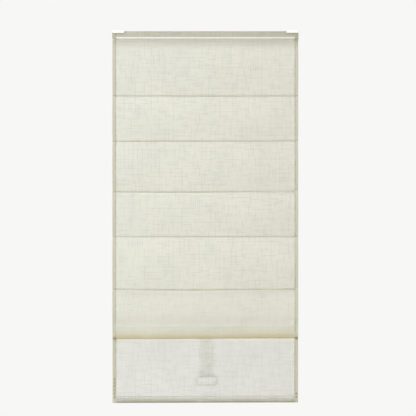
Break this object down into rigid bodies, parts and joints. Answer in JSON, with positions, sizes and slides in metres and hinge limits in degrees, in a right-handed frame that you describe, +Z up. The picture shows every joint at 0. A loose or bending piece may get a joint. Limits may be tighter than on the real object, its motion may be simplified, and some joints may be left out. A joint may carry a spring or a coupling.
{
  "type": "roman blind",
  "caption": "Cordless flat roman blind: sheer slub cloth with rod tucks on a cloth-faced headrail, with a spring lift, a bottom bar, a skirt and a finger pull.",
  "frame": {"origin": "centre of the four fixing holes, on the top faces of the two brackets", "axes": "+Z up, +X along the headrail to the right as seen from the room, -Y towards the room"},
  "size_m": [0.813, 0.0517, 1.6276],
  "materials": {
    "white_rail": "satin",
    "linen": "sheer slub weave",
    "cap_plastic": "matte",
    "clear_plastic": "clear gloss",
    "white_plastic": "moulded",
    "steel": "bright",
    "bar_aluminium": "mill",
    "rod_fibre": "pultruded"
  },
  "bodies": {
    "headrail": {"headrail_channel": "white_rail", "fascia_cloth": "linen", "end_cap_left": "cap_plastic", "end_cap_right": "cap_plastic", "mounting_bracket_left": "white_rail", "mounting_bracket_right": "white_rail", "clamp_strip": "white_rail", "clamp_screws": "steel", "face_cloth": "linen", "spool_cradle_left": "white_plastic", "spool_cradle_right": "white_plastic", "cord_eyelet_left": "white_plastic", "cord_eyelet_right": "white_plastic", "motor_case": "white_plastic", "motor_cover": "white_plastic", "power_spring": "steel"},
    "lower_bar": {"bottom_bar": "bar_aluminium", "bar_cap_left": "white_plastic", "bar_cap_right": "white_plastic", "bar_rings": "clear_plastic", "skirt": "linen", "hem_bar": "steel", "pull_strap": "linen"},
    "handle": {"pull_handle": "clear_plastic"},
    "drive": {"drive_shaft": "steel", "lift_spool_left": "white_plastic", "lift_spool_right": "white_plastic", "spring_output_drum": "white_plastic"},
    "spring_store": {"spring_storage_drum": "white_plastic"},
    "rib_1": {"rib_rod_1": "rod_fibre", "rib_tips_1": "white_plastic", "rib_rings_1": "clear_plastic"},
    "rib_2": {"rib_rod_2": "rod_fibre", "rib_tips_2": "white_plastic", "rib_rings_2": "clear_plastic"},
    "rib_3": {"rib_rod_3": "rod_fibre", "rib_tips_3": "white_plastic", "rib_rings_3": "clear_plastic"},
    "rib_4": {"rib_rod_4": "rod_fibre", "rib_tips_4": "white_plastic", "rib_rings_4": "clear_plastic"},
    "rib_5": {"rib_rod_5": "rod_fibre", "rib_tips_5": "white_plastic", "rib_rings_5": "clear_plastic"}
  },
  "joints": [
    {"name": "lift", "type": "slide", "parent": "headrail", "child": "lower_bar", "axis": [0, 0, 1], "range_m": [0, 1.1186], "deforming": ["face_cloth"]},
    {"name": "handle_swing", "type": "hinge", "parent": "lower_bar", "child": "handle", "pos_m": [0.006, 0.0024, -1.5131], "axis": [1, 0, 0], "range_deg": [0, 90]},
    {"name": "drive_spin", "type": "hinge", "parent": "headrail", "child": "drive", "pos_m": [0, -0.0013, -0.0146], "axis": [1, 0, 0], "range_deg": [0, 7817]},
    {"name": "store_spin", "type": "hinge", "parent": "headrail", "child": "spring_store", "pos_m": [0, 0.01372, -0.01475], "axis": [1, 0, 0], "range_deg": [0, 14759.6]},
    {"name": "rib_1_rise", "type": "slide", "parent": "headrail", "child": "rib_1", "axis": [0, 0, 1], "range_m": [0, 0.219]},
    {"name": "rib_2_rise", "type": "slide", "parent": "headrail", "child": "rib_2", "axis": [0, 0, 1], "range_m": [0, 0.387]},
    {"name": "rib_3_rise", "type": "slide", "parent": "headrail", "child": "rib_3", "axis": [0, 0, 1], "range_m": [0, 0.575]},
    {"name": "rib_4_rise", "type": "slide", "parent": "headrail", "child": "rib_4", "axis": [0, 0, 1], "range_m": [0, 0.743]},
    {"name": "rib_5_rise", "type": "slide", "parent": "headrail", "child": "rib_5", "axis": [0, 0, 1], "range_m": [0, 0.9389]}
  ],
  "couplings": [
    {"joint": "drive_spin", "follows": "lift", "rad_per_m": 121.95},
    {"joint": "store_spin", "follows": "lift", "rad_per_m": 230.28},
    {"joint": "rib_1_rise", "follows": "lift", "ratio": 0.1953},
    {"joint": "rib_2_rise", "follows": "lift", "ratio": 0.3455},
    {"joint": "rib_3_rise", "follows": "lift", "ratio": 0.5136},
    {"joint": "rib_4_rise", "follows": "lift", "ratio": 0.6638},
    {"joint": "rib_5_rise", "follows": "lift", "ratio": 0.83886}
  ]
}
